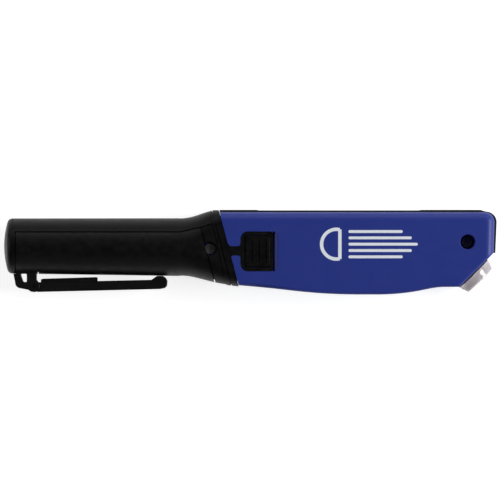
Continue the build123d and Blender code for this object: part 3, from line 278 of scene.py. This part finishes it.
finishes = {
    "shell_front": printed_blue(),
    "shell_back": moulded_plastic("shell_back_blue", BLUE, BLUE_DEEP, SHELL_ROUGH, SHELL_GLOSS),
    "tube": moulded_plastic("tube_black", BLACK, BLACK_DEEP, 0.42, 0.14),
    "grip": soft_rubber("grip_rubber", (0.0024, 0.0024, 0.0026), RUBBER_ROUGH),
    "collar": soft_rubber("collar_rubber", (0.002, 0.002, 0.0022), RUBBER_ROUGH),
    "frame": moulded_plastic("frame_black", (0.02, 0.02, 0.026), (0.015, 0.015, 0.019), 0.34),
    "window": clear_plastic("window_clear", 0.03, (0.96, 0.97, 0.98)),
    "tray": plain_part("tray_white", (0.72, 0.73, 0.74), 0.3),
    "board": plain_part("board_green", (0.012, 0.075, 0.028), 0.35),
    "led": plain_part("led_phosphor", (0.7, 0.52, 0.06), 0.4),
    "gasket": soft_rubber("gasket_rubber", (0.006, 0.005, 0.009), 0.55),
    "spot_cover": frosted_dome(),
    "spot_cup": metal("spot_mirror", (0.86, 0.86, 0.88), 0.1),
    "switch_body": plain_part("switch_black", (0.012, 0.012, 0.012), 0.4),
    "components": plain_part("component_black", (0.02, 0.02, 0.022), 0.4),
    "screws": metal("screw_zinc", (0.55, 0.56, 0.58), 0.3),
    "cell": plain_part("cell_sleeve", (0.02, 0.14, 0.09), 0.3),
    "contact": metal("contact_brass", (0.78, 0.58, 0.26), 0.28),
    "insulator": plain_part("insulator_fibre", (0.5, 0.5, 0.46), 0.6),
    "strip": metal("strip_brass", (0.78, 0.58, 0.26), 0.28, (1, 8, 8)),
    "lead_red": plain_part("lead_red", (0.42, 0.012, 0.012), 0.4),
    "lead_black": plain_part("lead_black", (0.01, 0.01, 0.01), 0.4),
    "lead_white": plain_part("lead_white", (0.6, 0.6, 0.57), 0.4),
    "clip": moulded_plastic("clip_black", BLACK, BLACK_DEEP, 0.42, 0.3),
    "pin": metal("pin_black_steel", (0.03, 0.03, 0.032), 0.4),
    "spring": metal("spring_steel", (0.5, 0.5, 0.52), 0.25),
    "button": soft_rubber("button_rubber", (0.0016, 0.0016, 0.0018), RUBBER_ROUGH),
    "plunger": plain_part("plunger_grey", (0.3, 0.3, 0.3), 0.4),
    "seal": soft_rubber("seal_rubber", (0.01, 0.01, 0.01), 0.45),
    "cap": moulded_plastic("cap_black", BLACK, BLACK_DEEP, 0.42, 0.16),
}

for part in frame["record"]["subparts"]:
    shown = frame["nodes"][part["node"]]
    finish = finishes[part["material_slot"]].material
    if shown.material_slots:
        for material_slot in shown.material_slots:
            material_slot.material = finish
    else:
        shown.data.materials.append(finish)


# ---- studio ----------------------------------------------------------------------------

MID_Z = 14 * MM
VIEW_WIDTH = 250 * MM
VIEW_CENTRE = Vector((-0.05 * MM, 1.1 * MM, MID_Z))
LENS = 500.0               # long lens, so that the front face isn't enlarged
SENSOR = 36.0
CLIP_END = 20

FLOOR_SIZE = 6
FLOOR_GLOW = 0.82
SKY_KEY = Vector((0.0, 0.86, 0.5)).normalized()
SKY_SPREAD = 0.66          # cosine of the glow's half angle
SKY_BRIGHT = 5.0
SKY_DIM = 0.03

# Name, place in m, power in W, length and width in m
LIGHTS = (
    ("tail", (-1.6, 0.1, 0.9), 6, 0.8, 0.8),
    ("nose", (1.6, 0.1, 1.0), 31, 0.8, 0.8),
    ("near", (0.1, -1.3, 0.8), 1.2, 1.0, 1.0),
    ("bar", (0.0, 1.5, 0.9), 9, 2.5, 0.6),
)


def lit_floor():
    """White acrylic table, lit a little from below."""
    bpy.ops.mesh.primitive_plane_add(size=FLOOR_SIZE, location=(0, 0, 0))
    floor = bpy.context.object
    floor.name = "floor"
    s = Shader("floor_acrylic")
    s.colour(s.mixed(s.noise(60, 3), (0.43, 0.43, 0.43), (0.46, 0.46, 0.46)))
    s.set(roughness=0.9, specular_ior_level=0.1, emission_color=(1, 1, 1, 1))
    s.set(emission_strength=FLOOR_GLOW)
    floor.data.materials.append(s.material)


def soft_light(name, place, power, length, width):
    """Rectangular area light that faces the object."""
    data = bpy.data.lights.new(name, "AREA")
    data.shape = "RECTANGLE"
    data.energy = power
    data.size = length
    data.size_y = width
    made = bpy.data.objects.new(name, data)
    made.location = place
    made.rotation_euler = (-Vector(place)).to_track_quat("-Z", "Y").to_euler()
    bpy.context.scene.collection.objects.link(made)


def studio_sky():
    """Dark dome with one broad soft glow over the main light's side."""
    world = bpy.data.worlds.new("studio")
    bpy.context.scene.world = world
    world.use_nodes = True
    tree = world.node_tree
    background = tree.nodes["Background"]
    place = tree.nodes.new("ShaderNodeTexCoord")
    towards = tree.nodes.new("ShaderNodeVectorMath")
    towards.operation = "DOT_PRODUCT"
    towards.inputs[1].default_value = SKY_KEY
    tree.links.new(place.outputs["Generated"], towards.inputs[0])
    ramp = tree.nodes.new("ShaderNodeMapRange")
    ramp.interpolation_type = "SMOOTHSTEP"
    ramp.inputs["From Min"].default_value = SKY_SPREAD
    ramp.inputs["From Max"].default_value = 1.0
    ramp.inputs["To Min"].default_value = SKY_DIM
    ramp.inputs["To Max"].default_value = SKY_BRIGHT
    tree.links.new(towards.outputs["Value"], ramp.inputs["Value"])
    tree.links.new(ramp.outputs["Result"], background.inputs["Strength"])


def straight_down_camera():
    data = bpy.data.cameras.new("camera")
    data.lens = LENS
    data.sensor_width = SENSOR
    data.clip_end = CLIP_END
    made = bpy.data.objects.new("camera", data)
    distance = VIEW_WIDTH * LENS / SENSOR
    made.location = VIEW_CENTRE + Vector((0, 0, distance))
    bpy.context.scene.collection.objects.link(made)
    bpy.context.scene.camera = made


lit_floor()
studio_sky()
for light in LIGHTS:
    soft_light(*light)
straight_down_camera()
bpy.context.scene.view_settings.view_transform = "Standard"
